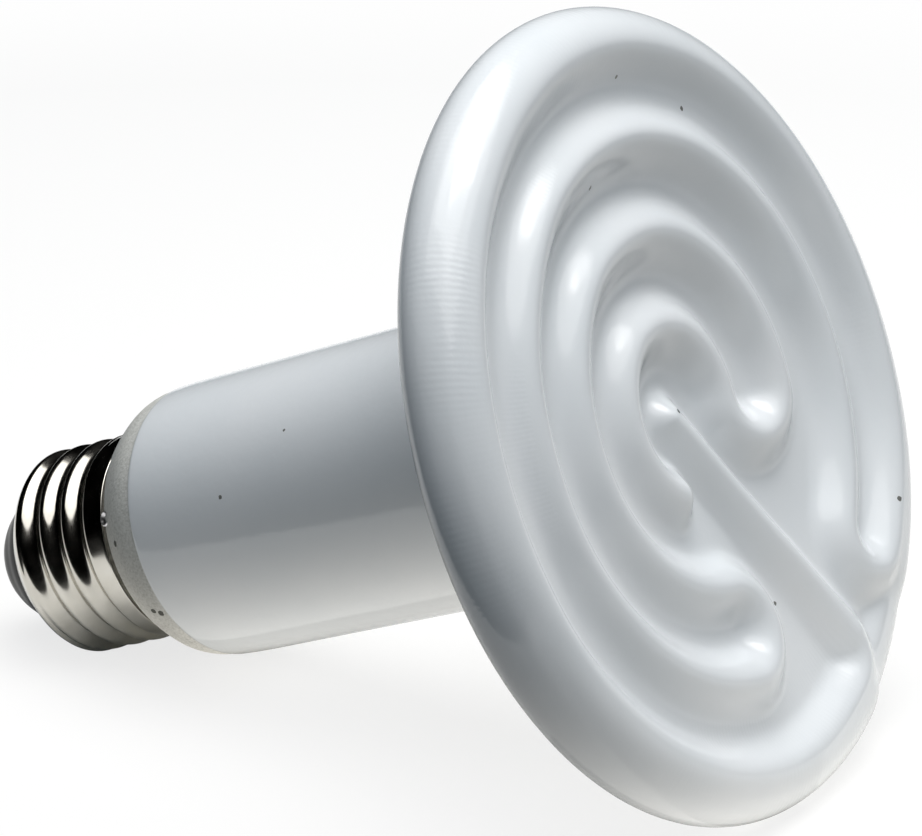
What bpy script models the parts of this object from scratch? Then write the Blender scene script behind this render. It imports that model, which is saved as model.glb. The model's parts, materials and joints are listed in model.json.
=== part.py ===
"""Ceramic heat emitter with a screw cap.

A hollow stoneware neck ends in a round, slightly dished disc. One raised ridge winds over the face
of the disc as a labyrinth, and the heating coil runs inside it. The neck's other end carries an
Edison screw cap. The emitter lies on the rim of its disc and the edge of its cap.

Everything is modelled about the emitter's own axis: X to the right and Y up on the face, as seen
from the front, and Z along the axis from the centre contact to the face. One empty then lays the
emitter down on the plane Z = 0.
"""

from math import atan2, ceil, cos, pi, radians, sin, sqrt, tan

import bmesh
import bpy
from mathutils import Matrix, Vector

for old in list(bpy.data.objects):
    bpy.data.objects.remove(old)

# Clearance between pieces that touch
FIT = 0.0003

# Screw cap, an E26 base: its length from the contact's tip to the shell's lip, and its thread
CAP_LENGTH = 0.0245
THREAD_RADIUS = 0.01305
THREAD_DEPTH = 0.0010
THREAD_PITCH = 0.003629
THREAD_START = 0.0102
THREAD_END = 0.0222
THREAD_VALLEY = 0.01197
THREAD_TURN = radians(78.7)
SHELL_WALL = 0.0003
SHELL_END = 0.0086
SHELL_TURN_IN = 0.00255
INSULATOR_TIP = 0.0019
INSULATOR_TIP_RADIUS = 0.0060
CONTACT_RADIUS = 0.0048
CONTACT_THICKNESS = 0.0007
SOLDER_RADIUS = 0.0023
EYELET_RADIUS = 0.0013

# Neck, measured from the shell's lip
COLLAR_SPACE = 0.00225
COLLAR_WALL = 0.0028
COLLAR_DEPTH = 0.0140
CEMENT_LENGTH = 0.0115
BAND_LENGTH = 0.0075
BAND_STEP = 0.0005
SHOULDER_RADIUS = 0.0168
GLAZE_EDGE_RADIUS = 0.01705
NECK_RADIUS = 0.01733
NECK_END_RADIUS = 0.01809
NECK_BORE = 0.0132
NECK_LENGTH = 0.0640

# Disc
DISC_RADIUS = 0.04836
DISC_THICKNESS = 0.0079
RIM_BACK_RADIUS = 0.0045
RIM_DEPTH = 0.0069
RIM_FULLNESS = 0.8
BRIM_RISE = 0.0015
DISH_DEPTH = 0.0038
BORE_DOME = 0.0040

# Labyrinth ridge: four rings a pitch apart, three U-turns and a straight bar. The pitch is a
# share of the outer ring's radius, and the bar's width is a share of the ridge's
RIM_MARGIN = 0.00526
PITCH_SHARE = 0.2552
RIDGE_HEIGHT = 0.0032
BAR_SHARE = 0.855
LABYRINTH_TURN = radians(1.34)
OUTER_TURN = radians(-42)
MIDDLE_TURN = radians(-99.5)
INNER_TURN = radians(-8)
OUTER_TUCK = 0.0016
TUCK_START = radians(-5)
INNER_END = radians(239)
BAR_DIRECTION = radians(-63)
BAR_OFFSET = 0.0009
BAR_START = 0.0007
BEND_RADIUS = 0.0042
BEND_TUCK = 0.0010
BEND_TUCK_REACH = radians(25)

# Heating coil in its channel, and the leads from it to the cap
COIL_RADIUS = 0.0019
COIL_DEPTH = 0.0040
LEAD_RADIUS = 0.0005
SLEEVE_RADIUS = 0.0016
SLEEVE_LENGTH = 0.0500
SIDE_LEAD_TURN = radians(158)
BEAD_RADIUS = 0.0010

# Fineness: facets round the body and the cap, and how far the ridge's path may cut a corner
BODY_STEPS = 48
CAP_STEPS = 24
THREAD_ROWS_PER_PITCH = 5
PATH_TOLERANCE = 0.00018

# Places along the axis, worked out from the sizes above
LIP = CAP_LENGTH
SEAT = LIP + FIT
GLAZE_EDGE = SEAT + BAND_LENGTH
NECK_END = LIP + NECK_LENGTH
BACK_AT_RIM = NECK_END + DISC_THICKNESS
RIM_WIDEST = BACK_AT_RIM + RIM_BACK_RADIUS
FLOOR_AT_RIM = BACK_AT_RIM + RIM_DEPTH
OUTER_RING = DISC_RADIUS - RIM_MARGIN
RIDGE_PITCH = OUTER_RING * PITCH_SHARE
RIDGE_HALF_WIDTH = RIDGE_PITCH / 2
OUTER_GROOVE = OUTER_RING - RIDGE_HALF_WIDTH
BORE_END = NECK_END + BORE_DOME / 2
CHANNEL_RADIUS = COIL_RADIUS + FIT
LEAD_HOLE_RADIUS = LEAD_RADIUS + 2 * FIT

# Radii that follow the cap's
SHELL_MOUTH_RADIUS = THREAD_RADIUS - SHELL_TURN_IN
COLLAR_RADIUS = THREAD_RADIUS - COLLAR_SPACE
COLLAR_BORE = COLLAR_RADIUS - COLLAR_WALL
BAND_RADIUS = THREAD_RADIUS + BAND_STEP


def collection(name):
    made = bpy.data.collections.new(name)
    bpy.context.scene.collection.children.link(made)
    return made


PARTS = collection("ceramic_heat_emitter")
CUTTERS = collection("cutters")
CUTTERS.hide_render = True

AXIS = bpy.data.objects.new("emitter_axis", None)
PARTS.objects.link(AXIS)


def material(name, colour, roughness, metallic=0.0):
    made = bpy.data.materials.new(name)
    made.use_nodes = True
    shader = made.node_tree.nodes["Principled BSDF"]
    shader.inputs["Base Color"].default_value = (*colour, 1.0)
    shader.inputs["Roughness"].default_value = roughness
    shader.inputs["Metallic"].default_value = metallic
    made.diffuse_color = (*colour, 1.0)
    return made


GLAZE = material("white_glaze", (0.62, 0.66, 0.69), 0.2)
NICKEL = material("bright_nickel", (0.72, 0.70, 0.66), 0.15, 1.0)
BRASS = material("contact_brass", (0.70, 0.55, 0.30), 0.3, 1.0)
SOLDER = material("solder", (0.60, 0.60, 0.60), 0.35, 1.0)
BLACK_GLASS = material("black_glass", (0.02, 0.02, 0.02), 0.15)
CEMENT = material("capping_cement", (0.55, 0.52, 0.45), 0.9)
COIL_ALLOY = material("coil_alloy", (0.30, 0.28, 0.26), 0.5, 1.0)
LEAD_NICKEL = material("lead_nickel", (0.55, 0.53, 0.50), 0.35, 1.0)
SLEEVE = material("sleeve_ceramic", (0.75, 0.72, 0.66), 0.8)


def add_object(name, mesh, finish=None):
    """A piece of the emitter when it has a finish, and otherwise a cutter."""
    made = bpy.data.objects.new(name, mesh)
    made.parent = AXIS
    if finish is None:
        CUTTERS.objects.link(made)
        made.hide_render = True
        made.display_type = "WIRE"
    else:
        PARTS.objects.link(made)
        mesh.materials.append(finish)
    return made


def turned(name, profile, steps, finish=None):
    """A profile of (radius, height) points turned about the axis.

    The middle of each facet lies at the profile's radius, and one facet lies straight below.
    """
    mesh = bpy.data.meshes.new(name)
    lean = tan(pi / steps)
    points = [(radius, radius * lean, height) for radius, height in profile]
    edges = [(i, i + 1) for i in range(len(points) - 1)]
    if profile[0][0] > 0:
        edges.append((len(points) - 1, 0))
    mesh.from_pydata(points, edges, [])
    made = add_object(name, mesh, finish)
    screw = made.modifiers.new("Turn", "SCREW")
    screw.steps = steps
    screw.render_steps = steps
    screw.use_merge_vertices = True
    screw.merge_threshold = 0.00001
    screw.use_smooth_shade = True
    return made


def tube(name, points, radii, sides, finish=None, section=None):
    """A tube through the points, round unless it has a section, with its caps welded on."""
    curve = bpy.data.curves.new(name, "CURVE")
    curve.dimensions = "3D"
    if section:
        curve.twist_mode = "Z_UP"
        curve.bevel_mode = "OBJECT"
        curve.bevel_object = section
    else:
        curve.bevel_depth = 1.0
        curve.bevel_resolution = (sides - 4) // 2
    curve.use_fill_caps = True
    spline = curve.splines.new("POLY")
    spline.points.add(len(points) - 1)
    for node, point, radius in zip(spline.points, points, radii):
        node.co = (*point, 1.0)
        node.radius = radius
    guide = bpy.data.objects.new(name + "_guide", curve)
    CUTTERS.objects.link(guide)
    graph = bpy.context.evaluated_depsgraph_get()
    mesh = bpy.data.meshes.new_from_object(guide.evaluated_get(graph))
    bpy.data.objects.remove(guide)
    shape = bmesh.new()
    shape.from_mesh(mesh)
    bmesh.ops.remove_doubles(shape, verts=shape.verts, dist=0.000001)
    bmesh.ops.recalc_face_normals(shape, faces=shape.faces)
    shape.to_mesh(mesh)
    shape.free()
    mesh.shade_smooth()
    return add_object(name, mesh, finish)


def rod(name, start, end, radius, sides):
    return tube(name, [start, end], [radius, radius], sides)


def boolean(target, other, operation):
    made = target.modifiers.new(operation.title() + " " + other.name, "BOOLEAN")
    made.operation = operation
    made.solver = "EXACT"
    made.object = other
    return made


def floor_height(radius):
    """Height of the dished groove floor at this radius from the axis."""
    inward = max(0.0, 1.0 - radius / OUTER_GROOVE)
    return FLOOR_AT_RIM - DISH_DEPTH * inward


def sweep(centre, start_radius, end_radius, start, end, ease=1.0):
    """Points of an arc about the centre, whose radius may change on the way."""
    reach = max(start_radius, end_radius)
    step = sqrt(8 * PATH_TOLERANCE / reach)
    count = ceil(abs(end - start) / step)
    points = []
    for i in range(count + 1):
        share = i / count
        radius = start_radius + (end_radius - start_radius) * share**ease
        angle = start + (end - start) * share
        points.append(centre + radius * Vector((cos(angle), sin(angle))))
    return points


def u_turn(outer, inner, angle, side):
    """A half circle from the outer ring to the inner one, bulging to this side of the angle."""
    middle = (outer + inner) / 2 * Vector((cos(angle), sin(angle)))
    half = (outer - inner) / 2
    return sweep(middle, half, half, angle, angle + side * pi)


def labyrinth():
    """The ridge's centre line on the face, and how many of its points lie on the straight bar."""
    first, second, third, fourth = (OUTER_RING - RIDGE_PITCH * i for i in range(4))
    axis = Vector((0.0, 0.0))
    along = Vector((cos(BAR_DIRECTION), sin(BAR_DIRECTION)))
    aside = Vector((along.y, -along.x))
    bar_start = Vector((-BAR_OFFSET, 0.0)) + along * BAR_START
    # The bend is tangent to the bar and, from inside, to the outer ring
    from_line = bar_start + aside * BEND_RADIUS
    reach = from_line.dot(along)
    left_over = from_line.length_squared - (first - BEND_TUCK - BEND_RADIUS) ** 2
    bend = from_line + along * (sqrt(reach * reach - left_over) - reach)
    bar_end = bend - aside * BEND_RADIUS
    ring_start = atan2(bend.y, bend.x)
    bend_start = atan2(-aside.y, -aside.x)
    if bend_start < ring_start:
        bend_start += 2 * pi
    bar_count = ceil((bar_end - bar_start).length / (2 * BEND_RADIUS))
    points = [bar_start.lerp(bar_end, i / bar_count) for i in range(bar_count + 1)]
    points += sweep(bend, BEND_RADIUS, BEND_RADIUS, bend_start, ring_start)[1:]
    tucked = first - OUTER_TUCK
    full_ring = ring_start - BEND_TUCK_REACH
    points += sweep(axis, first - BEND_TUCK, first, ring_start, full_ring)[1:]
    points += sweep(axis, first, first, full_ring, TUCK_START - 2 * pi)[1:]
    points += sweep(axis, first, tucked, TUCK_START - 2 * pi, OUTER_TURN - 2 * pi, 2.0)[1:]
    points += u_turn(tucked, second, OUTER_TURN, -1)[1:]
    points += sweep(axis, second, second, OUTER_TURN, MIDDLE_TURN + 2 * pi)[1:]
    points += u_turn(second, third, MIDDLE_TURN, 1)[1:]
    points += sweep(axis, third, third, MIDDLE_TURN + 2 * pi, INNER_TURN)[1:]
    points += u_turn(third, fourth, INNER_TURN, -1)[1:]
    points += sweep(axis, fourth, fourth, INNER_TURN, INNER_END)[1:]
    turn = Matrix.Rotation(LABYRINTH_TURN, 2)
    return [turn @ point for point in points], bar_count


def on_face(point, height):
    """This point of the face, this far above the groove floor there."""
    return Vector((point.x, point.y, floor_height(point.length) + height))


PATH, BAR_COUNT = labyrinth()
CORE = [on_face(point, RIDGE_HEIGHT - COIL_DEPTH) for point in PATH]


def ridge_section():
    """The ridge's section: a wave of one crest, whose feet go on into the face."""
    wave = ((0.8, -0.35), (0.75, 0.15), (0.42, 0.65), (0.15, 1.0))
    outline = [(-RIDGE_HALF_WIDTH * across, RIDGE_HEIGHT * up) for across, up in wave]
    outline += [(-x, height) for x, height in reversed(outline)]
    curve = bpy.data.curves.new("ridge_section", "CURVE")
    curve.dimensions = "2D"
    spline = curve.splines.new("POLY")
    spline.points.add(len(outline) - 1)
    for node, point in zip(spline.points, outline):
        node.co = (*point, 0.0, 1.0)
    spline.use_cyclic_u = True
    made = bpy.data.objects.new("ridge_section", curve)
    CUTTERS.objects.link(made)
    return made


def ridge_line():
    """Points of the ridge's line on the floor, with the section's scale at each."""
    shares = [BAR_SHARE if i < BAR_COUNT - 1 else 1.0 for i in range(len(PATH))]
    points = [on_face(p, RIDGE_HEIGHT * (1 - share)) for p, share in zip(PATH, shares)]
    first_way = (points[0] - points[1]).normalized() * RIDGE_HALF_WIDTH * BAR_SHARE
    last_way = (points[-1] - points[-2]).normalized() * RIDGE_HALF_WIDTH
    first = [(points[0] + first_way * s, BAR_SHARE * sqrt(1 - s * s)) for s in (0.8, 0.45)]
    last = [(points[-1] + last_way * s, sqrt(1 - s * s)) for s in (0.45, 0.8)]
    whole = first + list(zip(points, shares)) + last
    return [point for point, _ in whole], [share for _, share in whole]


def arc_profile(centre, radius, start, end, count):
    steps = [start + (end - start) * i / count for i in range(count + 1)]
    return [(centre[0] + radius * cos(a), centre[1] + radius * sin(a)) for a in steps]


def rim_profile(centre, across, along, count):
    """From the brim out to the widest circle, on an ellipse made fuller at its shoulder."""
    steps = [pi / 2 * i / count for i in range(count + 1)]
    return [
        (centre[0] + across * sin(a) ** RIM_FULLNESS, centre[1] + along * cos(a) ** RIM_FULLNESS)
        for a in steps
    ]


# Ceramic body: disc, neck and collar are one casting, hollow from the collar up
brim_top = FLOOR_AT_RIM + BRIM_RISE
rim_front = rim_profile(
    (OUTER_RING, RIM_WIDEST), DISC_RADIUS - OUTER_RING, brim_top - RIM_WIDEST, 4
)
rim_back = arc_profile(
    (DISC_RADIUS - RIM_BACK_RADIUS, RIM_WIDEST), RIM_BACK_RADIUS, 0, -pi / 2, 4
)
back_span = DISC_RADIUS - RIM_BACK_RADIUS - NECK_END_RADIUS
body_profile = [(0.0, floor_height(0.0)), (OUTER_GROOVE, FLOOR_AT_RIM)]
body_profile += rim_front + rim_back[1:]
body_profile += [
    (NECK_END_RADIUS + back_span * 0.45, BACK_AT_RIM - DISC_THICKNESS * 0.25),
    (NECK_END_RADIUS + back_span * 0.12, BACK_AT_RIM - DISC_THICKNESS * 0.45),
    (NECK_END_RADIUS + back_span * 0.02, BACK_AT_RIM - DISC_THICKNESS * 0.75),
    (NECK_END_RADIUS, NECK_END),
    (NECK_RADIUS, GLAZE_EDGE + BAND_LENGTH),
    (GLAZE_EDGE_RADIUS, GLAZE_EDGE),
    (SHOULDER_RADIUS, SEAT + BAND_LENGTH * 0.78),
    (BAND_RADIUS + (SHOULDER_RADIUS - BAND_RADIUS) * 0.62, SEAT + BAND_LENGTH * 0.4),
    (BAND_RADIUS, SEAT),
    (COLLAR_RADIUS, SEAT),
    (COLLAR_RADIUS, LIP - COLLAR_DEPTH),
    (COLLAR_BORE, LIP - COLLAR_DEPTH),
    (COLLAR_BORE, GLAZE_EDGE - BAND_LENGTH * 0.3),
    (NECK_BORE, GLAZE_EDGE + BAND_LENGTH * 0.5),
    (NECK_BORE, BORE_END - BORE_DOME * 0.7),
    (NECK_BORE * 0.6, BORE_END),
    (0.0, BORE_END),
]
ceramic_body = turned("ceramic_body", body_profile, BODY_STEPS, GLAZE)

ridge = tube("ridge_form", *ridge_line(), 0, section=ridge_section())
# The ridge's feet cross one another where the inner ring ends beside the bar
boolean(ceramic_body, ridge, "UNION").use_self = True

channel = tube("coil_channel", CORE, [CHANNEL_RADIUS] * len(CORE), 6)
boolean(ceramic_body, channel, "DIFFERENCE")

for index, end in enumerate((CORE[0], CORE[-1])):
    below = Vector((end.x, end.y, BORE_END - BORE_DOME))
    lead_hole = rod(f"lead_hole_{index}", end, below, LEAD_HOLE_RADIUS, 8)
    boolean(ceramic_body, lead_hole, "DIFFERENCE")

side_way = Vector((cos(SIDE_LEAD_TURN), sin(SIDE_LEAD_TURN), 0.0))
notch_height = Vector((0, 0, SEAT + LEAD_HOLE_RADIUS / 2))
notch_start = side_way * (COLLAR_BORE - LEAD_HOLE_RADIUS) + notch_height
notch_end = side_way * (THREAD_RADIUS + 3 * BEAD_RADIUS) + notch_height
notch = rod("lead_notch", notch_start, notch_end, LEAD_HOLE_RADIUS, 8)
boolean(ceramic_body, notch, "DIFFERENCE")
bead_place = side_way * (BAND_RADIUS + BEAD_RADIUS - FIT) + Vector((0, 0, SEAT + BEAD_RADIUS / 2))
pocket_start = bead_place - side_way * BEAD_RADIUS
pocket_end = bead_place + side_way * 3 * BEAD_RADIUS
pocket = rod("bead_pocket", pocket_start, pocket_end, BEAD_RADIUS + FIT, 8)
boolean(ceramic_body, pocket, "DIFFERENCE")

# Heating coil: a close-wound resistance helix that fills its channel, kept as its outer form
coil_start = CORE[0].lerp(CORE[1], FIT / (CORE[1] - CORE[0]).length)
coil_end = CORE[-1].lerp(CORE[-2], FIT / (CORE[-1] - CORE[-2]).length)
coil_points = [coil_start] + CORE[1:-1] + [coil_end]
tube("heating_coil", coil_points, [COIL_RADIUS] * len(coil_points), 6, COIL_ALLOY)

# Leads: from each end of the coil down the neck, through a sleeve, to the cap
LEAD_DROP = COIL_RADIUS + FIT + LEAD_RADIUS / 2
SLEEVE_TOP = BORE_END - BORE_DOME - SLEEVE_RADIUS
lead_span = COLLAR_BORE - 2 * SLEEVE_RADIUS


def lead_route(start, sleeve_x, sleeve_y, finish):
    """Out of the channel, across to the sleeve, down through it, and on to the last points."""
    top = Vector((start.x, start.y, start.z - LEAD_DROP))
    knee = Vector((start.x, start.y, BORE_END - BORE_DOME))
    sleeve_top = Vector((sleeve_x, sleeve_y, SLEEVE_TOP))
    sleeve_bottom = Vector((sleeve_x, sleeve_y, SLEEVE_TOP - SLEEVE_LENGTH))
    return [top, knee, sleeve_top, sleeve_bottom] + finish


def lead(name, route):
    return tube(name, route, [LEAD_RADIUS] * len(route), 8, LEAD_NICKEL)


def sleeve(name, x, y):
    inner = LEAD_RADIUS + FIT
    low, high = SLEEVE_TOP - SLEEVE_LENGTH + SLEEVE_RADIUS, SLEEVE_TOP - SLEEVE_RADIUS
    profile = [
        (SLEEVE_RADIUS, high),
        (SLEEVE_RADIUS, low),
        (inner, low),
        (inner, high),
    ]
    made = turned(name, profile, 10, SLEEVE)
    made.location = (x, y, 0.0)
    return made


side_axis = side_way * lead_span
contact_tail = [Vector((0.0, 0.0, INSULATOR_TIP - CONTACT_THICKNESS + FIT))]
side_tail = [
    side_axis + notch_height + Vector((0, 0, 2 * LEAD_HOLE_RADIUS)),
    side_axis + notch_height + side_way * 2 * LEAD_HOLE_RADIUS,
    side_way * (BAND_RADIUS - 2 * FIT) + notch_height,
]
lead("contact_lead", lead_route(CORE[0], 0.0, 0.0, contact_tail))
lead("side_lead", lead_route(CORE[-1], side_axis.x, side_axis.y, side_tail))
sleeve("contact_lead_sleeve", 0.0, 0.0)
sleeve("side_lead_sleeve", side_axis.x, side_axis.y)

# Screw shell: thin plated sheet with a rolled thread, a plain lip and a turned-in end
thread_rows = ceil((THREAD_END - THREAD_START) / THREAD_PITCH * THREAD_ROWS_PER_PITCH)
wall_profile = [(THREAD_RADIUS, LIP), (THREAD_RADIUS, (LIP + THREAD_END) / 2)]
for row in range(thread_rows + 1):
    height = THREAD_END + (THREAD_START - THREAD_END) * row / thread_rows
    wall_profile.append((THREAD_RADIUS, height))
wall_profile += [
    (THREAD_RADIUS - THREAD_DEPTH * 0.6, (THREAD_START + SHELL_END) / 2),
    (THREAD_RADIUS - THREAD_DEPTH * 1.5, SHELL_END),
    (SHELL_MOUTH_RADIUS, SHELL_END),
]


def thread_radius(angle, height):
    """Radius of the rolled thread: a wave that climbs one pitch a turn and fades at both ends."""
    phase = (height - THREAD_VALLEY) / THREAD_PITCH - (angle - THREAD_TURN) / (2 * pi)
    fade = min(1.0, max(0.0, (THREAD_END - height) / (THREAD_PITCH * 0.3)))
    fade *= min(1.0, max(0.0, (height - THREAD_START) / (THREAD_PITCH * 0.25)))
    return THREAD_RADIUS - THREAD_DEPTH * fade * (1 + cos(2 * pi * phase)) / 2


def threaded_sheet(name, profile, steps, finish):
    """The profile spun into an open sheet, with the thread rolled in and the wall inside it."""
    sheet = bmesh.new()
    lean = tan(pi / steps)
    rows = [sheet.verts.new((radius, radius * lean, z)) for radius, z in profile]
    lines = [sheet.edges.new(pair) for pair in zip(rows, rows[1:])]
    bmesh.ops.spin(
        sheet,
        geom=rows + lines,
        axis=(0, 0, 1),
        angle=2 * pi,
        steps=steps,
        use_merge=True,
    )
    for vert in sheet.verts:
        if THREAD_START < vert.co.z < THREAD_END:
            angle = atan2(vert.co.y, vert.co.x)
            scale = thread_radius(angle, vert.co.z) / THREAD_RADIUS
            vert.co.x *= scale
            vert.co.y *= scale
    bmesh.ops.recalc_face_normals(sheet, faces=sheet.faces)
    mesh = bpy.data.meshes.new(name)
    sheet.to_mesh(mesh)
    sheet.free()
    mesh.shade_smooth()
    made = add_object(name, mesh, finish)
    wall = made.modifiers.new("Sheet", "SOLIDIFY")
    wall.thickness = SHELL_WALL
    wall.offset = -1.0
    return made


screw_shell = threaded_sheet("screw_shell", wall_profile, CAP_STEPS, NICKEL)

# Cement between the collar and the shell, wider above the thread
inside_thread = THREAD_RADIUS - THREAD_DEPTH - SHELL_WALL - FIT
inside_lip = THREAD_RADIUS - SHELL_WALL - FIT
turned(
    "cement_ring",
    [
        (inside_lip, LIP - FIT),
        (inside_lip, THREAD_END),
        (inside_thread, THREAD_END - THREAD_DEPTH),
        (inside_thread, LIP - CEMENT_LENGTH),
        (COLLAR_RADIUS + FIT, LIP - CEMENT_LENGTH),
        (COLLAR_RADIUS + FIT, LIP - FIT),
    ],
    CAP_STEPS,
    CEMENT,
)

# Black glass insulator, moulded through the shell's mouth
glass_top = LIP - COLLAR_DEPTH - FIT
mouth = SHELL_MOUTH_RADIUS - FIT
glass_seat = SHELL_END + SHELL_WALL + FIT
turned(
    "glass_insulator",
    [
        (inside_thread, glass_top),
        (inside_thread, glass_seat + 2 * FIT),
        (inside_thread - 2 * FIT, glass_seat),
        (mouth, glass_seat),
        (mouth, SHELL_END),
        (mouth * 0.93, SHELL_END - 0.0014),
        ((mouth + INSULATOR_TIP_RADIUS) / 2, (SHELL_END + INSULATOR_TIP) / 2 - 0.0007),
        (INSULATOR_TIP_RADIUS, INSULATOR_TIP),
        (EYELET_RADIUS + FIT, INSULATOR_TIP),
        (EYELET_RADIUS + FIT, glass_top),
    ],
    CAP_STEPS,
    BLACK_GLASS,
)

# Centre contact: a brass eyelet through the glass, closed by a dome of solder
flange_top = INSULATOR_TIP - FIT
flange_bottom = flange_top - CONTACT_THICKNESS
eyelet_bore = LEAD_RADIUS + FIT
turned(
    "centre_contact",
    [
        (EYELET_RADIUS, glass_top),
        (EYELET_RADIUS, flange_top),
        (CONTACT_RADIUS, flange_top),
        (CONTACT_RADIUS * 0.92, flange_bottom),
        (eyelet_bore, flange_bottom),
        (eyelet_bore, glass_top),
    ],
    CAP_STEPS,
    BRASS,
)
solder_top = flange_bottom - FIT
turned(
    "contact_solder",
    [
        (0.0, solder_top),
        (SOLDER_RADIUS, solder_top),
        (SOLDER_RADIUS * 0.8, solder_top * 0.4),
        (SOLDER_RADIUS * 0.4, 0.0),
        (0.0, 0.0),
    ],
    12,
    SOLDER,
)

# Bead of solder that joins the side lead to the shell's lip
bead_shape = bmesh.new()
bmesh.ops.create_uvsphere(bead_shape, u_segments=10, v_segments=6, radius=BEAD_RADIUS)
bead_mesh = bpy.data.meshes.new("side_solder")
bead_shape.to_mesh(bead_mesh)
bead_shape.free()
bead_mesh.shade_smooth()
side_solder = add_object("side_solder", bead_mesh, SOLDER)
side_solder.location = bead_place

# Laying the emitter down: tilted until the disc's rim and the cap's thread are equally low
bpy.context.view_layer.update()
graph = bpy.context.evaluated_depsgraph_get()


def corners_of(name):
    piece = bpy.data.objects[name].evaluated_get(graph)
    return [piece.matrix_world @ vert.co for vert in piece.data.vertices]


def lowest(corners, tilt):
    return min(corner.y * cos(tilt) + corner.z * sin(tilt) for corner in corners)


disc_corners = corners_of("ceramic_body")
cap_corners = corners_of("screw_shell") + corners_of("contact_solder")
least, most = 0.0, pi / 2
while most - least > 1e-7:
    tilt = (least + most) / 2
    if lowest(disc_corners, tilt) < lowest(cap_corners, tilt):
        least = tilt
    else:
        most = tilt

AXIS.rotation_euler = (pi / 2 - tilt, 0.0, pi / 2)
bpy.context.view_layer.update()
laid = [AXIS.matrix_world @ corner for corner in disc_corners + cap_corners]
low = Vector([min(corner[i] for corner in laid) for i in range(3)])
high = Vector([max(corner[i] for corner in laid) for i in range(3)])
AXIS.location = (-(low.x + high.x) / 2, -(low.y + high.y) / 2, -low.z)
bpy.context.view_layer.update()
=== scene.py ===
"""Ceramic heat emitter with a screw cap, lying on the rim of its disc and the edge of its cap.

The sections follow the emitter as it is put together: the cast body first, then the coil and its
leads, the cement and the cap, and last the photograph's view, the floor and the lamps.
"""

import json
from math import atan2, cos, hypot, pi, radians, sin, sqrt

import bmesh
import bpy
import numpy as np
from mathutils import Matrix, Vector, noise
from mathutils.kdtree import KDTree


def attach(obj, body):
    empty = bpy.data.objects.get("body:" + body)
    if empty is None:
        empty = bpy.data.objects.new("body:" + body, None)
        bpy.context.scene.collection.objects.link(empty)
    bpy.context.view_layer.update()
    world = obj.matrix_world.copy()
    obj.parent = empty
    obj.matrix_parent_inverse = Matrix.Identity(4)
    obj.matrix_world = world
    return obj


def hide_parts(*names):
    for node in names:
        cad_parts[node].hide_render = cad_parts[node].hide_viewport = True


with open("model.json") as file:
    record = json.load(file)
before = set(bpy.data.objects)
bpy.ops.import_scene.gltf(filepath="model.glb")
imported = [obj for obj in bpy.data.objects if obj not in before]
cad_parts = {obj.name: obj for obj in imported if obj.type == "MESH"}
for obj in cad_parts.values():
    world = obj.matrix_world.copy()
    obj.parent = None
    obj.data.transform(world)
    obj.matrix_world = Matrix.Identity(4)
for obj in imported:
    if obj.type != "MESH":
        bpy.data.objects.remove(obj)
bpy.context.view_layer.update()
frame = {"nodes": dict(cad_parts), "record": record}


# Ceramic body: one hollow casting in white stoneware, pressed with its labyrinth ridge and dipped
# in a thick white glaze. The end that goes into the cap stays bare. The sizes are in metres about
# the body's own axis, which runs from the cap's tip to the face.
MM = 0.001
ring_radii = [43.1 * MM, 32.1 * MM, 21.1 * MM, 10.1 * MM]
outer_ring = ring_radii[0]
ridge_height = 3.2 * MM
ridge_half_width = 5.5 * MM
bar_half_width = 4.7 * MM
bar_length = 38 * MM
bar_root = 8 * MM
valley_round = 0.12 * MM
glaze_pool = 0.28 * MM
hand_wobble = 0.16 * MM
groove_floor = 103.3 * MM
groove_edge = 37.6 * MM
dish_depth = 3.8 * MM
rim_radius = 48.36 * MM
rim_height = 100.86 * MM
rim_back_round = 4.5 * MM
brim_start = 38.5 * MM
brim_rise = 1.5 * MM
rim_round = 1.10
glaze_edge = 32.3 * MM

holder_face = {mount["name"]: mount for mount in frame["record"]["mounts"]}["contact_tip"]
tip = Vector(holder_face["pos_m"])
axis = -Vector(holder_face["axis"]).normalized()
across = Vector((0, 1, 0))
upward = axis.cross(across)
LAID = Matrix(
    (
        (across.x, upward.x, axis.x, tip.x),
        (across.y, upward.y, axis.y, tip.y),
        (across.z, upward.z, axis.z, tip.z),
        (0, 0, 0, 1),
    )
)


def laid_piece(shape, name, finish, node, wall=0.0):
    """Lays a finished shape down where its CAD solid lies, and gives it its finish."""
    bmesh.ops.remove_doubles(shape, verts=shape.verts, dist=1e-7)
    bmesh.ops.recalc_face_normals(shape, faces=shape.faces)
    if wall:
        bmesh.ops.solidify(shape, geom=shape.faces, thickness=wall)
    mesh = bpy.data.meshes.new(name)
    shape.to_mesh(mesh)
    shape.free()
    mesh.transform(LAID)
    mesh.shade_smooth()
    mesh.materials.append(finish)
    piece = bpy.data.objects.new(name, mesh)
    bpy.context.scene.collection.objects.link(piece)
    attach(piece, "root")
    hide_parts(node)
    return piece


def spun(profile, steps):
    """A line of (radius, height) points, spun about the body's axis."""
    shape = bmesh.new()
    corners = [shape.verts.new((radius, 0, height)) for radius, height in profile]
    lines = [shape.edges.new(pair) for pair in zip(corners, corners[1:])]
    bmesh.ops.spin(
        shape, geom=corners + lines, axis=(0, 0, 1), angle=2 * pi, steps=steps, use_merge=True
    )
    return shape


def eased_line(points, spacing):
    """A smooth line through the points, in steps of about this spacing."""
    points = [Vector(point) for point in points]
    line = []
    ends = [2 * points[0] - points[1]] + points + [2 * points[-1] - points[-2]]
    for before, start, end, after in zip(ends, ends[1:], ends[2:], ends[3:]):
        count = max(1, round((end - start).length / spacing))
        for i in range(count):
            t = i / count
            line.append(
                0.5
                * (
                    2 * start
                    + (end - before) * t
                    + (2 * before - 5 * start + 4 * end - after) * t * t
                    + (3 * start - before - 3 * end + after) * t**3
                )
            )
    line.append(points[-1])
    return [tuple(point) for point in line]


line_step = 0.15 * MM


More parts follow.
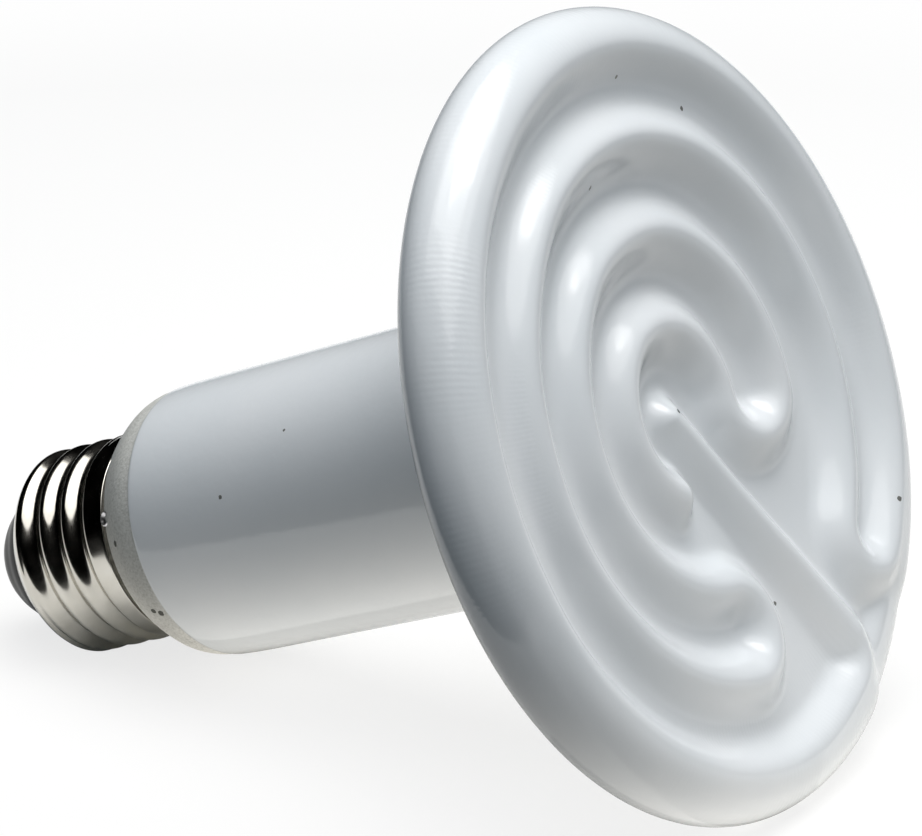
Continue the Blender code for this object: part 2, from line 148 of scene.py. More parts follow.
def arc_points(centre, start_radius, end_radius, start, end, ease=1):
    """Evenly spaced points on an arc whose radius may change on the way; angles in degrees."""
    count = int(abs(radians(end - start)) * max(start_radius, end_radius) / line_step)
    share = np.linspace(0, 1, max(3, count))
    angle = np.radians(start + (end - start) * share)
    radius = start_radius + (end_radius - start_radius) * share**ease
    return np.column_stack([centre[0] + radius * np.cos(angle), centre[1] + radius * np.sin(angle)])


def u_turn_points(outer, inner, angle, side):
    """A half turn from an outer ring into the next one."""
    middle = (outer + inner) / 2
    centre = (middle * cos(radians(angle)), middle * sin(radians(angle)))
    half = (outer - inner) / 2
    return arc_points(centre, half, half, angle, angle + side * 180)


labyrinth_turn = 1.34
bar_direction = -63
outer_turn, middle_turn, inner_turn = -42, -99.5, -8
outer_tuck, tuck_start = 1.6 * MM, -365
bend_tuck, bend_tuck_reach = 1.0 * MM, 25
bend_radius = 4.2 * MM
bar_offset, bar_start = 0.9 * MM, 0.7 * MM
inner_end = 239


def bar_and_rings():
    """The ridge's line on the face: its straight bar, and then the bend and the rings."""
    along = np.array([cos(radians(bar_direction)), sin(radians(bar_direction))])
    aside = np.array([along[1], -along[0]])
    start = np.array([-bar_offset, 0]) + bar_start * along
    from_line = start + aside * bend_radius
    reach = from_line @ along
    left_over = from_line @ from_line - (outer_ring - bend_tuck - bend_radius) ** 2
    bend = from_line + along * (sqrt(reach**2 - left_over) - reach)
    end = bend - aside * bend_radius
    share = np.linspace(0, 1, 300)[:, None]
    bar = start + (end - start) * share
    bend_end = np.degrees(atan2(bend[1], bend[0]))
    bend_start = np.degrees(atan2(-aside[1], -aside[0]))
    if bend_start < bend_end:
        bend_start += 360
    first, second, third, fourth = ring_radii
    tucked = first - outer_tuck
    rings = [
        arc_points(bend, bend_radius, bend_radius, bend_start, bend_end),
        arc_points((0, 0), first - bend_tuck, first, bend_end, bend_end - bend_tuck_reach),
        arc_points((0, 0), first, first, bend_end - bend_tuck_reach, tuck_start),
        arc_points((0, 0), first, tucked, tuck_start, outer_turn - 360, 2),
        u_turn_points(tucked, second, outer_turn, -1),
        arc_points((0, 0), second, second, outer_turn, middle_turn + 360),
        u_turn_points(second, third, middle_turn, 1),
        arc_points((0, 0), third, third, middle_turn + 360, inner_turn),
        u_turn_points(third, fourth, inner_turn, -1),
        arc_points((0, 0), fourth, fourth, inner_turn, inner_end),
    ]
    turn = radians(labyrinth_turn)
    turned = np.array([[cos(turn), sin(turn)], [-sin(turn), cos(turn)]])
    return bar @ turned, np.vstack(rings) @ turned


def tree_of(points):
    """A search tree that finds the nearest of these points."""
    tree = KDTree(len(points))
    for i, (x, y) in enumerate(points):
        tree.insert((x, y, 0), i)
    tree.balance()
    return tree


bar_line, ring_line = bar_and_rings()
bar_tree = tree_of(bar_line)
ring_tree = tree_of(ring_line)


def wave(distance, half_width):
    """The ridge's section: a cosine wave of one crest."""
    return ridge_height * (1 + cos(pi * min(1, distance / half_width))) / 2


def relief(x, y):
    """How far the ridge stands above the groove floor at this place on the face."""
    wobble = noise.noise_vector(Vector((x, y, 0)) * 90) * hand_wobble
    place = (x + wobble.x, y + wobble.y, 0)
    _, index, bar_distance = bar_tree.find(place)
    left = (len(bar_line) - index) / len(bar_line) * bar_length
    widening = 1 - min(1, left / bar_root)
    width = bar_half_width + (ridge_half_width - bar_half_width) * widening
    bar = wave(bar_distance, width)
    ring = wave(ring_tree.find(place)[2], ridge_half_width)
    to_brim = min(1, max(0, (hypot(x, y) - brim_start) / (outer_ring - brim_start)))
    brim = brim_rise * (1 - cos(pi * to_brim)) / 2
    _, lower, higher = sorted((bar, ring, brim))
    overlap = np.log1p(np.exp((lower - higher) / valley_round)) * min(1, lower / valley_round)
    height = higher + valley_round * overlap
    # The glaze pools in the grooves and rounds their floors
    return height + glaze_pool * (np.exp(-height / glaze_pool) - 1)


def floor_height(radius):
    """Height of the dished groove floor at this distance from the middle."""
    return groove_floor - dish_depth * max(0, 1 - radius / groove_edge)


face_rows = 124
body_steps = 420
face_profile = [
    (outer_ring * i / face_rows, floor_height(outer_ring * i / face_rows))
    for i in range(face_rows + 1)
]
rim_profile = [
    (
        outer_ring + (rim_radius - outer_ring) * sin(a) ** rim_round,
        rim_height + (groove_floor - rim_height) * cos(a) ** rim_round,
    )
    for a in np.radians(np.linspace(0, 90, 15)[1:])
]
back_profile = [
    (rim_radius - rim_back_round * (1 - cos(a)), rim_height - rim_back_round * sin(a))
    for a in np.radians(np.linspace(0, 90, 12)[1:])
]
neck_profile = eased_line(
    [
        back_profile[-1],
        (0.0385, 0.0958),
        (0.0297, 0.0947),
        (0.0223, 0.0931),
        (0.0194, 0.0911),
        (0.01835, 0.0885),
        (0.0180, 0.0840),
        (0.01765, 0.0700),
        (0.01745, 0.0550),
        (0.01733, 0.0440),
        (0.01727, 0.0385),
        (0.01720, 0.0350),
        (0.01712, 0.0334),
        (0.01708, 0.0328),
    ],
    2.2 * MM,
)[1:]
glaze_lip = [(0.01705, 0.0325), (0.01700, 0.03237), (0.01693, 0.03230), (0.01689, 0.0322)]
band_profile = eased_line(
    [
        (0.01688, 0.0320),
        (0.01678, 0.0307),
        (0.01645, 0.0295),
        (0.01595, 0.0284),
        (0.01540, 0.0274),
        (0.01485, 0.0265),
        (0.01432, 0.0257),
        (0.01390, 0.0252),
    ],
    0.5 * MM,
)
band_foot = [(0.01377, 0.02505), (0.01362, 0.02496), (0.01340, 0.02492)]
tail_profile = [
    (0.01315, 0.02490),
    (0.01090, 0.02490),
    (0.01080, 0.02470),
    (0.01080, 0.01060),
    (0.01070, 0.01050),
    (0.00810, 0.01050),
    (0.00800, 0.01060),
    (0.00800, 0.02980),
    (0.01320, 0.03540),
    (0.01320, 0.08770),
    (0.01120, 0.08950),
    (0.00790, 0.09050),
    (0.00300, 0.09060),
    (0.00000, 0.09060),
]
collar_radius = 10.9 * MM
face_low = 97 * MM
pressed_low, pressed_radius = rim_height - 1.5 * MM, 47 * MM
band_low, band_high = 24.8 * MM, 29 * MM
slant_height = 0.8 * MM
slant_turn = radians(205)
smoothing_rounds = 7
casting = spun(
    face_profile + rim_profile + back_profile + neck_profile + glaze_lip + band_profile
    + band_foot + tail_profile,
    body_steps,
)
rim_reliefs = {}
for corner in casting.verts:
    radius = hypot(corner.co.x, corner.co.y)
    if radius > collar_radius and band_low < corner.co.z < band_high:
        # The pressed end isn't quite square: its far side stands a little clear of the cap
        slant = 0.5 + 0.5 * cos(atan2(corner.co.y, corner.co.x) - slant_turn)
        corner.co.z += slant_height * slant * (band_high - corner.co.z) / (band_high - band_low)
    if radius <= outer_ring + 1e-6:
        if corner.co.z > face_low:
            corner.co.z += relief(corner.co.x, corner.co.y)
    elif corner.co.z > rim_height + 1e-6:
        angle = atan2(corner.co.y, corner.co.x)
        key = round(angle * body_steps / (2 * pi)) % body_steps
        if key not in rim_reliefs:
            rim_reliefs[key] = relief(outer_ring * cos(angle), outer_ring * sin(angle))
        full = (groove_floor + rim_reliefs[key] - rim_height) / (groove_floor - rim_height)
        corner.co.z = rim_height + (corner.co.z - rim_height) * full
pressed_face = [
    corner
    for corner in casting.verts
    if corner.co.z > pressed_low and corner.co.xy.length < pressed_radius
]
for _ in range(smoothing_rounds):
    bmesh.ops.smooth_vert(
        casting, verts=pressed_face, factor=0.5, use_axis_x=True, use_axis_y=True, use_axis_z=True
    )


def add_node(tree, kind, settings=None, **inputs):
    """A shader node whose sockets, by name or number (i0, i1), take values or other outputs."""
    node = tree.nodes.new("ShaderNode" + kind)
    for name, value in (settings or {}).items():
        setattr(node, name, value)
    for name, value in inputs.items():
        socket = node.inputs[int(name[1:])] if name[0] == "i" and name[1:].isdigit() else None
        if socket is None:
            socket = node.inputs[name.replace("_", " ").title()]
        if isinstance(value, bpy.types.NodeSocket):
            tree.links.new(value, socket)
        else:
            socket.default_value = value
    return node


def new_finish(name):
    """A material with an empty tree, its Principled shader and its Object coordinates."""
    finish = bpy.data.materials.new(name)
    finish.use_nodes = True
    tree = finish.node_tree
    shader = tree.nodes["Principled BSDF"]
    place = tree.nodes.new("ShaderNodeTexCoord").outputs["Object"]
    return finish, tree, shader, place


def ramp(tree, factor, stops):
    """A colour ramp with these (position, colour) stops."""
    node = add_node(tree, "ValToRGB", i0=factor)
    while len(node.color_ramp.elements) < len(stops):
        node.color_ramp.elements.new(0.5)
    for element, (position, colour) in zip(node.color_ramp.elements, stops):
        element.position = position
        element.color = (*colour, 1)
    return node.outputs["Color"]


def maths(tree, operation, first, second=0.0):
    """A sum of two numbers, or another operation on them."""
    return add_node(tree, "Math", {"operation": operation}, i0=first, i1=second).outputs[0]


def mottle_group():
    """Cloudy change between a dark and a light colour, as fired, cast and plated skins have it."""
    group = bpy.data.node_groups.new("mottle", "ShaderNodeTree")
    for name in ("Place", "Scale", "Detail", "Low", "High", "Dark", "Light"):
        kind = {"Place": "Vector", "Dark": "Color", "Light": "Color"}.get(name, "Float")
        group.interface.new_socket(name=name, in_out="INPUT", socket_type="NodeSocket" + kind)
    group.interface.new_socket(name="Colour", in_out="OUTPUT", socket_type="NodeSocketColor")
    group.interface.new_socket(name="Cloud", in_out="OUTPUT", socket_type="NodeSocketFloat")
    given = group.nodes.new("NodeGroupInput").outputs
    cloud = add_node(
        group, "TexNoise", vector=given["Place"], scale=given["Scale"], detail=given["Detail"]
    ).outputs[0]
    share = add_node(group, "MapRange", i0=cloud, i1=given["Low"], i2=given["High"]).outputs[0]
    colour = add_node(
        group, "Mix", {"data_type": "RGBA"}, i0=share, i6=given["Dark"], i7=given["Light"]
    ).outputs[2]
    result = group.nodes.new("NodeGroupOutput").inputs
    group.links.new(colour, result["Colour"])
    group.links.new(cloud, result["Cloud"])
    return group


MOTTLE = mottle_group()


def mottled(tree, place, scale, detail, dark, light, low=0.3, high=0.7):
    """Places the mottle group in a material; gives its colour and its cloud."""
    node = tree.nodes.new("ShaderNodeGroup")
    node.node_tree = MOTTLE
    tree.links.new(place, node.inputs["Place"])
    for name, value in (("Scale", scale), ("Detail", detail), ("Low", low), ("High", high)):
        node.inputs[name].default_value = value
    node.inputs["Dark"].default_value = (*dark, 1)
    node.inputs["Light"].default_value = (*light, 1)
    return node.outputs["Colour"], node.outputs["Cloud"]


glaze, tree, shader, place = new_finish("white_glaze")
tone, cloud = mottled(tree, place, 45.0, 3.0, (0.68, 0.71, 0.73), (0.73, 0.75, 0.765))
# Specks of iron in the glaze, and pits in the bare clay drawn as dark spots of painted shade, in
# millimetres:
# (x, y, size) on the face, and (degrees round the axis, radius, height, size) on the neck and its
# band
face_specks = [(12.5, 0.3, 0.3), (13.0, -1.8, 0.3), (6.8, -26.0, 0.3), (35.0, -22.2, 0.35)]
face_specks += [(19.2, 32.2, 0.3), (-4.5, 28.2, 0.3), (6.8, 38.8, 0.25), (46.0, -8.0, 0.4)]
neck_specks_and_pit_shades = [(163.0, 17.4, 47.0, 0.25), (142.0, 17.45, 57.2, 0.2), (206.0, 17.1, 31.3, 0.5)]
neck_specks_and_pit_shades += [(204.5, 16.8, 30.3, 0.4), (171.5, 16.0, 28.5, 0.45)]
spots = []
for x, y, size in face_specks:
    x, y = x * MM, y * MM
    spots.append((Vector((x, y, floor_height(hypot(x, y)) + relief(x, y))), size * MM))
for turn, radius, height, size in neck_specks_and_pit_shades:
    turn = radians(turn)
    spot = Vector((cos(turn) * radius, sin(turn) * radius, height))
    spots.append((spot * MM, size * MM))
# Noise makes the specks and the glaze's edge ragged, by up to this much
ragged_by = 0.3 * MM
# The pits' colour is painted shade: near-black spots that have no depth in the mesh
iron_speck, painted_pit_shade = (0.16, 0.16, 0.15, 1), (0.08, 0.08, 0.07, 1)
blur = add_node(tree, "TexNoise", vector=place, scale=2500.0, detail=2.0).outputs["Color"]
shaken = add_node(
    tree, "VectorMath", {"operation": "MULTIPLY_ADD"}, i0=blur, i1=(ragged_by,) * 3, i2=place
).outputs[0]
speck_and_pit_shade_mask = 0.0
for spot, size in spots:
    centre = tuple((LAID @ spot) + Vector((ragged_by / 2,) * 3))
    reach = add_node(tree, "VectorMath", {"operation": "DISTANCE"}, i0=shaken, i1=centre)
    speck_and_pit_shade_mask = maths(tree, "MAXIMUM", speck_and_pit_shade_mask, maths(tree, "LESS_THAN", reach.outputs["Value"], size))
specked = add_node(
    tree, "Mix", {"data_type": "RGBA"}, i0=speck_and_pit_shade_mask, i6=tone, i7=iron_speck
).outputs[2]
along = add_node(
    tree, "VectorMath", {"operation": "DOT_PRODUCT"}, i0=place, i1=tuple(axis)
).outputs["Value"]
ragged = add_node(tree, "TexNoise", vector=place, scale=420.0, detail=4.0).outputs[0]
edge = maths(tree, "ADD", along, maths(tree, "MULTIPLY", ragged, ragged_by))
edge_place = glaze_edge + tip.dot(axis) + ragged_by / 2
edge_half = 0.06 * MM
bare = add_node(
    tree,
    "MapRange",
    i0=edge,
    i1=edge_place - edge_half,
    i2=edge_place + edge_half,
    i3=1.0,
    i4=0.0,
).outputs[0]
grit = add_node(tree, "TexNoise", vector=place, scale=3200.0, detail=5.0).outputs[0]
clay = ramp(
    tree, grit, [(0.30, (0.40, 0.40, 0.37)), (0.5, (0.50, 0.50, 0.47)), (0.72, (0.58, 0.58, 0.55))]
)
# Painted shade darkens the bare clay at its pits
clay_with_painted_pit_shade = add_node(tree, "Mix", {"data_type": "RGBA"}, i0=speck_and_pit_shade_mask, i6=clay, i7=painted_pit_shade).outputs[2]
colour = add_node(tree, "Mix", {"data_type": "RGBA"}, i0=bare, i6=specked, i7=clay_with_painted_pit_shade).outputs[2]
tree.links.new(colour, shader.inputs["Base Color"])
gloss = add_node(tree, "MapRange", i0=cloud, i1=0.3, i2=0.7, i3=0.10, i4=0.14).outputs[0]
rough = add_node(tree, "Mix", {"data_type": "FLOAT"}, i0=bare, i2=gloss, i3=0.85).outputs[0]
tree.links.new(rough, shader.inputs["Roughness"])
peel = add_node(tree, "TexNoise", vector=place, scale=700.0, detail=2.0).outputs[0]
surface = add_node(tree, "Mix", {"data_type": "FLOAT"}, i0=bare, i2=peel, i3=grit).outputs[0]
sideways = add_node(
    tree, "VectorMath", {"operation": "DOT_PRODUCT"}, i0=place, i1=tuple(across)
).outputs["Value"]
upright = add_node(
    tree, "VectorMath", {"operation": "DOT_PRODUCT"}, i0=place, i1=tuple(upward)
).outputs["Value"]
upright = maths(tree, "SUBTRACT", upright, tip.dot(upward))
turn_round = maths(tree, "ARCTAN2", upright, sideways)
squares = [maths(tree, "POWER", part, 2.0) for part in (sideways, upright)]
from_axis = maths(tree, "SQRT", maths(tree, "ADD", *squares))
# Fine ripples cross the rim here and there, as the photograph shows them
ripples_round, ripple_drift, ripple_share = 370.0, 25.0, 0.16
patches = add_node(tree, "TexNoise", vector=place, scale=60.0, detail=1.0).outputs[0]
patches = add_node(tree, "MapRange", i0=patches, i1=0.45, i2=0.65, i3=0.0, i4=1.0).outputs[0]
patches = maths(tree, "MULTIPLY", patches, maths(tree, "GREATER_THAN", from_axis, 34 * MM))
shifted = maths(tree, "MULTIPLY", turn_round, ripples_round)
shifted = maths(tree, "ADD", shifted, maths(tree, "MULTIPLY", cloud, ripple_drift))
ripple = maths(tree, "MULTIPLY", maths(tree, "SINE", shifted), patches)
surface = maths(tree, "ADD", surface, maths(tree, "MULTIPLY", ripple, ripple_share))
coarser = maths(tree, "ADD", maths(tree, "MULTIPLY", bare, 8.0), 1.0)
depth = maths(tree, "MULTIPLY", surface, coarser)
bump = add_node(tree, "Bump", strength=0.12, distance=0.0002, height=depth)
tree.links.new(bump.outputs[0], shader.inputs["Normal"])
laid_piece(casting, "glazed_body", glaze, "ceramic_body")


# Heating coil: close-wound resistance wire, cast into the ridge. It keeps its CAD solid.
finish, tree, shader, place = new_finish("oxidised_wire")
colour, _ = mottled(
    tree, place, 900.0, 3.0, (0.10, 0.09, 0.08), (0.32, 0.29, 0.26), low=0.35, high=0.65
)
tree.links.new(colour, shader.inputs["Base Color"])
shader.inputs["Metallic"].default_value = 0.9
shader.inputs["Roughness"].default_value = 0.45


def finish_nodes(names, finish):
    """Gives this finish to pieces that keep their CAD solids."""
    for name in names:
        materials = frame["nodes"][name].data.materials
        materials.clear()
        materials.append(finish)


finish_nodes(["heating_coil"], finish)


# Leads and their sleeves: nickel wire from the coil's ends, through thin ceramic tubes down the
# neck, to the cap. They keep their CAD solids.
finish, tree, shader, place = new_finish("lead_wire")
colour, _ = mottled(tree, place, 1200.0, 2.0, (0.42, 0.40, 0.37), (0.60, 0.58, 0.55))
tree.links.new(colour, shader.inputs["Base Color"])
shader.inputs["Metallic"].default_value = 1.0
shader.inputs["Roughness"].default_value = 0.35
finish_nodes(["contact_lead", "side_lead"], finish)

finish, tree, shader, place = new_finish("sleeve_clay")
colour, chalk = mottled(tree, place, 1600.0, 5.0, (0.62, 0.59, 0.52), (0.80, 0.77, 0.71))
tree.links.new(colour, shader.inputs["Base Color"])
shader.inputs["Roughness"].default_value = 0.85
bump = add_node(tree, "Bump", strength=0.3, distance=0.0001, height=chalk)
tree.links.new(bump.outputs[0], shader.inputs["Normal"])
finish_nodes(["contact_lead_sleeve", "side_lead_sleeve"], finish)


# Cement: a gritty grey paste that holds the shell on the body's collar. It keeps its CAD solid.
finish, tree, shader, place = new_finish("grey_cement")
colour, grain = mottled(tree, place, 1400.0, 6.0, (0.30, 0.28, 0.24), (0.58, 0.55, 0.49))
tree.links.new(colour, shader.inputs["Base Color"])
shader.inputs["Roughness"].default_value = 0.9
bump = add_node(tree, "Bump", strength=0.6, distance=0.0003, height=grain)
tree.links.new(bump.outputs[0], shader.inputs["Normal"])
finish_nodes(["cement_ring"], finish)


# Screw shell: thin brass sheet, rolled with a round thread and plated with bright nickel. Its lip
# stands plain against the ceramic, and its other end is turned in round the black glass.
thread_radius = 13.05 * MM
thread_depth = 1.0 * MM
thread_pitch = 3.629 * MM
thread_valley = 11.97 * MM
thread_angle = radians(78.7)
thread_low, thread_high = 10.4 * MM, 22.2 * MM
thread_rise, thread_fall = 0.25 * thread_pitch, 0.3 * thread_pitch
shell_wall = 0.3 * MM
thread_rows, shell_steps = 84, 192


def rolled(angle, height):
    """Radius of the rolled thread at this angle and height; it fades out at both ends."""
    phase = (height - thread_valley) / thread_pitch - (angle - thread_angle) / (2 * pi)
    top = min(1, max(0, (thread_high - height) / thread_fall))
    bottom = min(1, max(0, (height - thread_low) / thread_rise))
    fade = top * top * (3 - 2 * top) * bottom * bottom * (3 - 2 * bottom)
    return thread_radius - thread_depth * fade * (1 + cos(2 * pi * phase)) / 2


shell_profile = [(0.01290, 0.02450), (0.01300, 0.02448), (0.01305, 0.02440)]
shell_profile += [(thread_radius, h) for h in np.linspace(0.0240, thread_low, thread_rows)]
shell_profile += eased_line(
    [
        (0.01300, 0.0102),
        (0.01275, 0.0098),
        (0.01240, 0.0094),
        (0.01198, 0.0090),
        (0.01150, 0.0085),
        (0.01100, 0.0080),
        (0.01060, 0.00762),
        (0.01030, 0.00750),
    ],
    0.2 * MM,
)
sheet = spun(shell_profile, shell_steps)
for corner in sheet.verts:
    if thread_low < corner.co.z < thread_high:
        scale = rolled(atan2(corner.co.y, corner.co.x), corner.co.z) / thread_radius
        corner.co.x *= scale
        corner.co.y *= scale
nickel, tree, shader, place = new_finish("nickel_plate")
colour, haze = mottled(tree, place, 300.0, 4.0, (0.52, 0.50, 0.45), (0.62, 0.60, 0.55))
tree.links.new(colour, shader.inputs["Base Color"])
shader.inputs["Metallic"].default_value = 1.0
rough = add_node(tree, "MapRange", i0=haze, i1=0.3, i2=0.7, i3=0.10, i4=0.20).outputs[0]
tree.links.new(rough, shader.inputs["Roughness"])
laid_piece(sheet, "nickel_shell", nickel, "screw_shell", wall=shell_wall)


# Black glass insulator: opaque glass pressed hot through the shell's mouth, with a smooth dark
# skin and a flat end for the contact.
glass_profile = eased_line(
    [
        (0.0099, 0.0088),
        (0.00975, 0.0073),
        (0.0090, 0.0057),
        (0.0080, 0.0043),
        (0.0071, 0.0030),
        (0.0062, 0.0020),
    ],
    0.2 * MM,
)
glass_profile = (
    [(0.0016, 0.0102), (0.01135, 0.0102), (0.01145, 0.0101), (0.01145, 0.0098), (0.0109, 0.0092)]
    + [(0.0099, 0.0092)]
    + glass_profile
    + [(0.0058, 0.0019), (0.0017, 0.0019), (0.0016, 0.0020), (0.0016, 0.0102)]
)
black, tree, shader, place = new_finish("black_pressed_glass")
colour, swirl = mottled(tree, place, 250.0, 3.0, (0.008, 0.008, 0.009), (0.022, 0.021, 0.022))
tree.links.new(colour, shader.inputs["Base Color"])
shader.inputs["Roughness"].default_value = 0.3
shader.inputs["Specular IOR Level"].default_value = 0.05
bump = add_node(tree, "Bump", strength=0.1, distance=0.0002, height=swirl)
tree.links.new(bump.outputs[0], shader.inputs["Normal"])
laid_piece(spun(glass_profile, 96), "pressed_glass", black, "glass_insulator")


# Centre contact: a brass eyelet riveted through the glass, and the dome of solder that closes it.
eyelet_profile = [
    (0.0013, 0.0102),
    (0.0013, 0.0017),
    (0.0014, 0.0016),
    (0.0047, 0.0016),
    (0.0048, 0.0015),
    (0.0047, 0.0011),
    (0.0044, 0.0009),
    (0.0008, 0.0009),
    (0.0008, 0.0102),
    (0.0013, 0.0102),
]
brass, tree, shader, place = new_finish("eyelet_brass")
colour, _ = mottled(tree, place, 700.0, 4.0, (0.16, 0.12, 0.07), (0.34, 0.27, 0.15))
tree.links.new(colour, shader.inputs["Base Color"])
shader.inputs["Metallic"].default_value = 1.0
shader.inputs["Roughness"].default_value = 0.28
laid_piece(spun(eyelet_profile, 64), "brass_eyelet", brass, "centre_contact")

solder, tree, shader, place = new_finish("tin_solder")
colour, frost = mottled(tree, place, 1100.0, 4.0, (0.50, 0.50, 0.50), (0.72, 0.72, 0.73))
tree.links.new(colour, shader.inputs["Base Color"])
shader.inputs["Metallic"].default_value = 1.0
rough = add_node(tree, "MapRange", i0=frost, i1=0.3, i2=0.7, i3=0.22, i4=0.42).outputs[0]
tree.links.new(rough, shader.inputs["Roughness"])
bump = add_node(tree, "Bump", strength=0.3, distance=0.0001, height=frost)
tree.links.new(bump.outputs[0], shader.inputs["Normal"])
dome_profile = eased_line(
    [
        (0.0, 0.0006),
        (0.0022, 0.0006),
        (0.0023, 0.00052),
        (0.0019, 0.00022),
        (0.0011, 0.00004),
        (0.0, 0.0),
    ],
    0.1 * MM,
)
laid_piece(spun(dome_profile, 48), "contact_dome", solder, "contact_solder")


# Side bead: the lead's end, soldered where it comes out beside the lip of the shell. The solder
# has drawn back from the middle and left a bright ring.
bead_profile = [(0.0, 0.10), (0.35, 0.10), (0.55, 0.16), (0.68, 0.36), (0.80, 0.45), (0.93, 0.36)]
bead_profile += [(1.0, 0.1), (0.96, -0.2), (0.7, -0.6), (0.0, -0.8)]
bead = spun([(radius * MM, height * MM) for radius, height in bead_profile], 48)
bead_turn, bead_radius, bead_height = radians(158.6), 14.35 * MM, 26.5 * MM
bead_way = Vector((cos(bead_turn), sin(bead_turn), -0.35)).normalized()
bead.transform(bead_way.to_track_quat("Z", "Y").to_matrix().to_4x4())
bead_place = Vector((cos(bead_turn) * bead_radius, sin(bead_turn) * bead_radius, bead_height))
bmesh.ops.translate(bead, verts=bead.verts, vec=bead_place)
laid_piece(bead, "side_bead", solder, "side_solder")


# The photograph's view: a long lens a little above the emitter, in front of the disc and to its
# right. The disc fills the right of the picture, and the cap's tip meets the left edge.
view = bpy.data.cameras.new("view")
view.sensor_width = 36
view.lens = 184.484
view.clip_start = 0.01
view.clip_end = 20
viewer = bpy.data.objects.new("view", view)
viewer.location = (0.2867103, -0.4562750, 0.2202358)
viewer.rotation_euler = (radians(71.34216), 0, radians(31.40128))
bpy.context.scene.collection.objects.link(viewer)
bpy.context.scene.camera = viewer


# Floor and lamps: a sheet of white paper under large soft lamps, in a dark room. What the glaze
# and the nickel mirror of the sheet goes dark a little in front of the emitter, as in the
# photograph.
stage = bmesh.new()
bmesh.ops.create_grid(stage, x_segments=1, y_segments=1, size=1)
front_edge, back_edge, side_edge = 0.60, -2.2, 1.4
bmesh.ops.scale(stage, verts=stage.verts, vec=(side_edge, (front_edge - back_edge) / 2, 1))
bmesh.ops.translate(stage, verts=stage.verts, vec=(0, -(front_edge + back_edge) / 2, 0))
stage.transform(Matrix.Rotation(viewer.rotation_euler.z, 4, "Z"))
stage_mesh = bpy.data.meshes.new("floor")
stage.to_mesh(stage_mesh)
stage.free()
floor = bpy.data.objects.new("floor", stage_mesh)
bpy.context.scene.collection.objects.link(floor)
paper = bpy.data.materials.new("white_paper")
paper.use_nodes = True
tree = paper.node_tree
shader = tree.nodes["Principled BSDF"]
shader.inputs["Base Color"].default_value = (0.86, 0.85, 0.83, 1)
shader.inputs["Roughness"].default_value = 0.9
shader.inputs["Specular IOR Level"].default_value = 0.0
place = tree.nodes.new("ShaderNodeTexCoord").outputs["Object"]


def eased_share(tree, value, start, end, low, high):
    """A number that goes smoothly from low to high as the value goes from start to end."""
    return add_node(
        tree,
        "MapRange",
        {"interpolation_type": "SMOOTHSTEP"},
        i0=value,
        i1=start,
        i2=end,
        i3=low,
        i4=high,
    ).outputs[0]


front_way = (-0.2, -0.98, 0)
front = add_node(
    tree, "VectorMath", {"operation": "DOT_PRODUCT"}, i0=place, i1=front_way
).outputs["Value"]
reach = add_node(tree, "VectorMath", {"operation": "LENGTH"}, i0=place).outputs["Value"]
rays = add_node(tree, "LightPath").outputs
# The camera sees plain white, but the lit paper and its shadows show through near the emitter
plain = eased_share(tree, front, -0.02, 0.07, 0.70, 1.0)
away = eased_share(tree, reach, 0.15, 0.40, 0.0, 1.0)
white = add_node(tree, "Emission", i0=(1, 1, 1, 1), strength=1.0)
share = maths(tree, "MULTIPLY", rays["Is Camera Ray"], maths(tree, "MAXIMUM", plain, away))
# The glaze and the nickel mirror the sheet only as far as this, and then a dark room
mirrored_edge = 0.08
far = maths(tree, "GREATER_THAN", front, mirrored_edge)
far = maths(tree, "SUBTRACT", far, rays["Is Camera Ray"])
dark = add_node(tree, "Emission", i0=(0.02, 0.02, 0.02, 1), strength=1.0)
ended = add_node(tree, "MixShader", i0=far, i1=shader.outputs[0], i2=dark.outputs[0])
lit = add_node(tree, "MixShader", i0=share, i1=ended.outputs[0], i2=white.outputs[0])
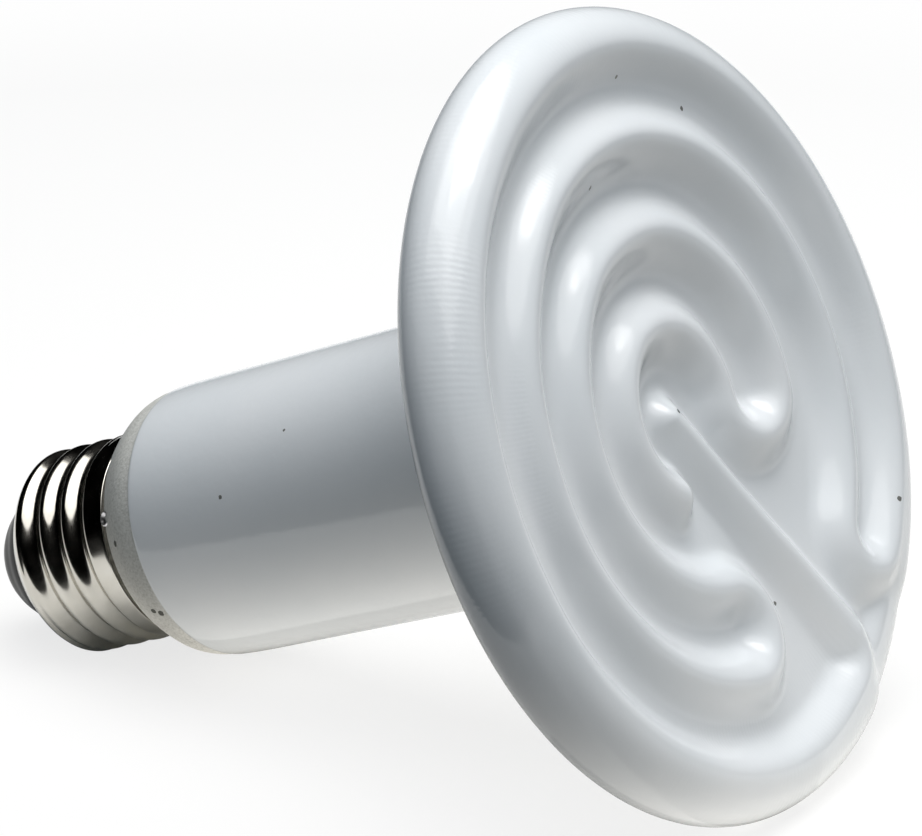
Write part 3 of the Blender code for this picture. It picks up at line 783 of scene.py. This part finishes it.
# Under and behind the emitter the sheet throws warm light up at it, as overexposed paper does
near_front = eased_share(tree, front, 0.0, 0.07, 2.2, 0.1)
near_middle = eased_share(tree, reach, 0.05, 0.15, 1.0, 0.12)
fading = maths(tree, "MULTIPLY", near_front, near_middle)
warm = add_node(tree, "Emission", i0=(1.0, 0.96, 0.90, 1), strength=fading)
bounced = add_node(tree, "MixShader", i0=0.9, i1=shader.outputs[0], i2=warm.outputs[0])
mixed = add_node(
    tree, "MixShader", i0=rays["Is Diffuse Ray"], i1=lit.outputs[0], i2=bounced.outputs[0]
)
tree.links.new(mixed.outputs[0], tree.nodes["Material Output"].inputs["Surface"])
stage_mesh.materials.append(paper)

# The room is dark in mirrors, faintly blue as a light on the object, and white to the camera
room = bpy.data.worlds.new("room")
bpy.context.scene.world = room
room.use_nodes = True
tree = room.node_tree
background = tree.nodes["Background"]
rays = add_node(tree, "LightPath").outputs
blue_fill = 0.09
level = add_node(
    tree, "Mix", {"data_type": "FLOAT"}, i0=rays["Is Diffuse Ray"], i2=0.0, i3=blue_fill
).outputs[0]
level = maths(tree, "MAXIMUM", level, rays["Is Camera Ray"])
tree.links.new(level, background.inputs["Strength"])
tint = add_node(
    tree,
    "Mix",
    {"data_type": "RGBA"},
    i0=rays["Is Camera Ray"],
    i6=(0.28, 0.66, 1, 1),
    i7=(1, 1, 1, 1),
)
tree.links.new(tint.outputs[2], background.inputs["Color"])


def soft_lamp(name, place, aim, size, power):
    """A large flat lamp of faintly warm light."""
    lamp = bpy.data.lights.new(name, "AREA")
    lamp.shape = "RECTANGLE"
    lamp.size, lamp.size_y = size
    lamp.energy = power
    lamp.color = (1, 0.99, 0.98)
    holder = bpy.data.objects.new(name, lamp)
    holder.location = place
    holder.rotation_euler = (Vector(aim) - Vector(place)).to_track_quat("-Z", "Y").to_euler()
    bpy.context.scene.collection.objects.link(holder)


# Three lamps of growing size, one above the other, make a single one that fades to its edges
soft_lamp("overhead_wide", (0.20, -0.02, 0.81), (0.20, -0.02, 0), (1.00, 1.00), 6.0)
soft_lamp("overhead_middle", (0.12, 0.06, 0.80), (0.12, 0.06, 0), (0.62, 0.70), 2.8)
soft_lamp("overhead_core", (0.12, 0.14, 0.79), (0, 0, 0.05), (0.42, 0.42), 2.2)

scene = bpy.context.scene
scene.view_settings.view_transform = "Standard"
